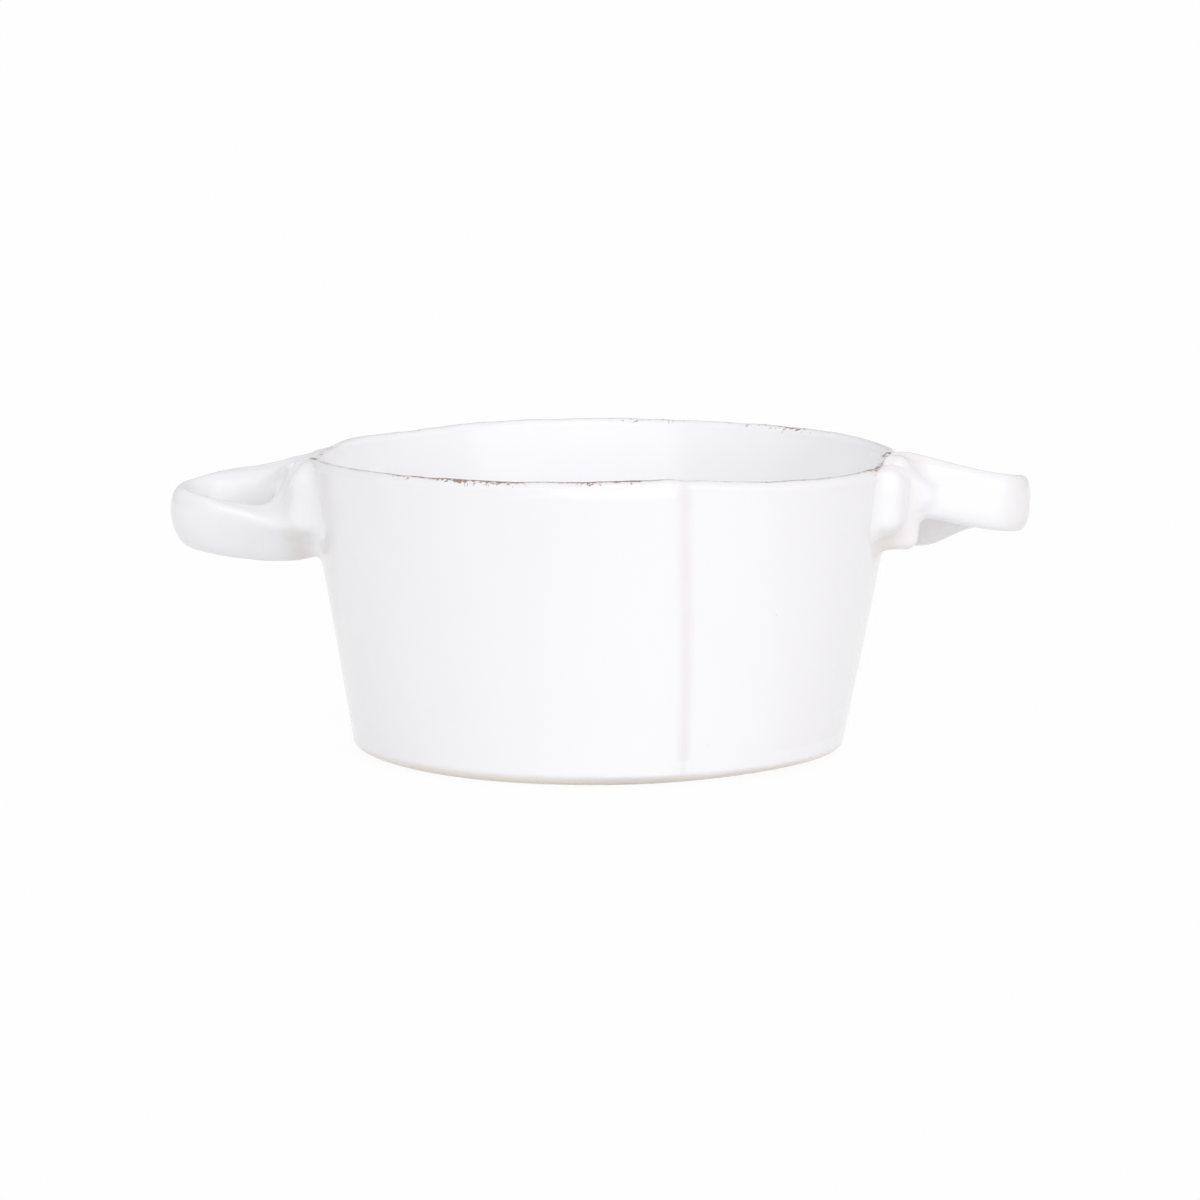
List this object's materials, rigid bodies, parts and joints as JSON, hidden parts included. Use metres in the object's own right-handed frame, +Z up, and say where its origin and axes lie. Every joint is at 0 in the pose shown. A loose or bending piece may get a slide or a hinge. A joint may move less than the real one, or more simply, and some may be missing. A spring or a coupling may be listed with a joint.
{
  "type": "handled bowl",
  "caption": "Round tapered stoneware bowl with a lapped slab wall, a flat floor and a strap loop handle on each side, for serving soup or small dishes.",
  "frame": {"origin": "middle of the flat foot, on the table", "axes": "+X along the handles, +Z up, -Y the side with the lap of the wall slab"},
  "size_m": [0.2156, 0.1503, 0.0762],
  "materials": {
    "white_glaze": "gloss white glaze, worn through to brown clay along the rim",
    "thin_glaze": "white glaze that thins to a warm cream at the foot"
  },
  "bodies": {
    "root": {"wall_slab": "white_glaze", "floor_disc": "thin_glaze", "floor_corner_coil": "white_glaze", "right_handle": "white_glaze", "right_front_handle_coil": "white_glaze", "right_rear_handle_coil": "white_glaze", "left_handle": "white_glaze", "left_front_handle_coil": "white_glaze", "left_rear_handle_coil": "white_glaze"}
  },
  "joints": []
}
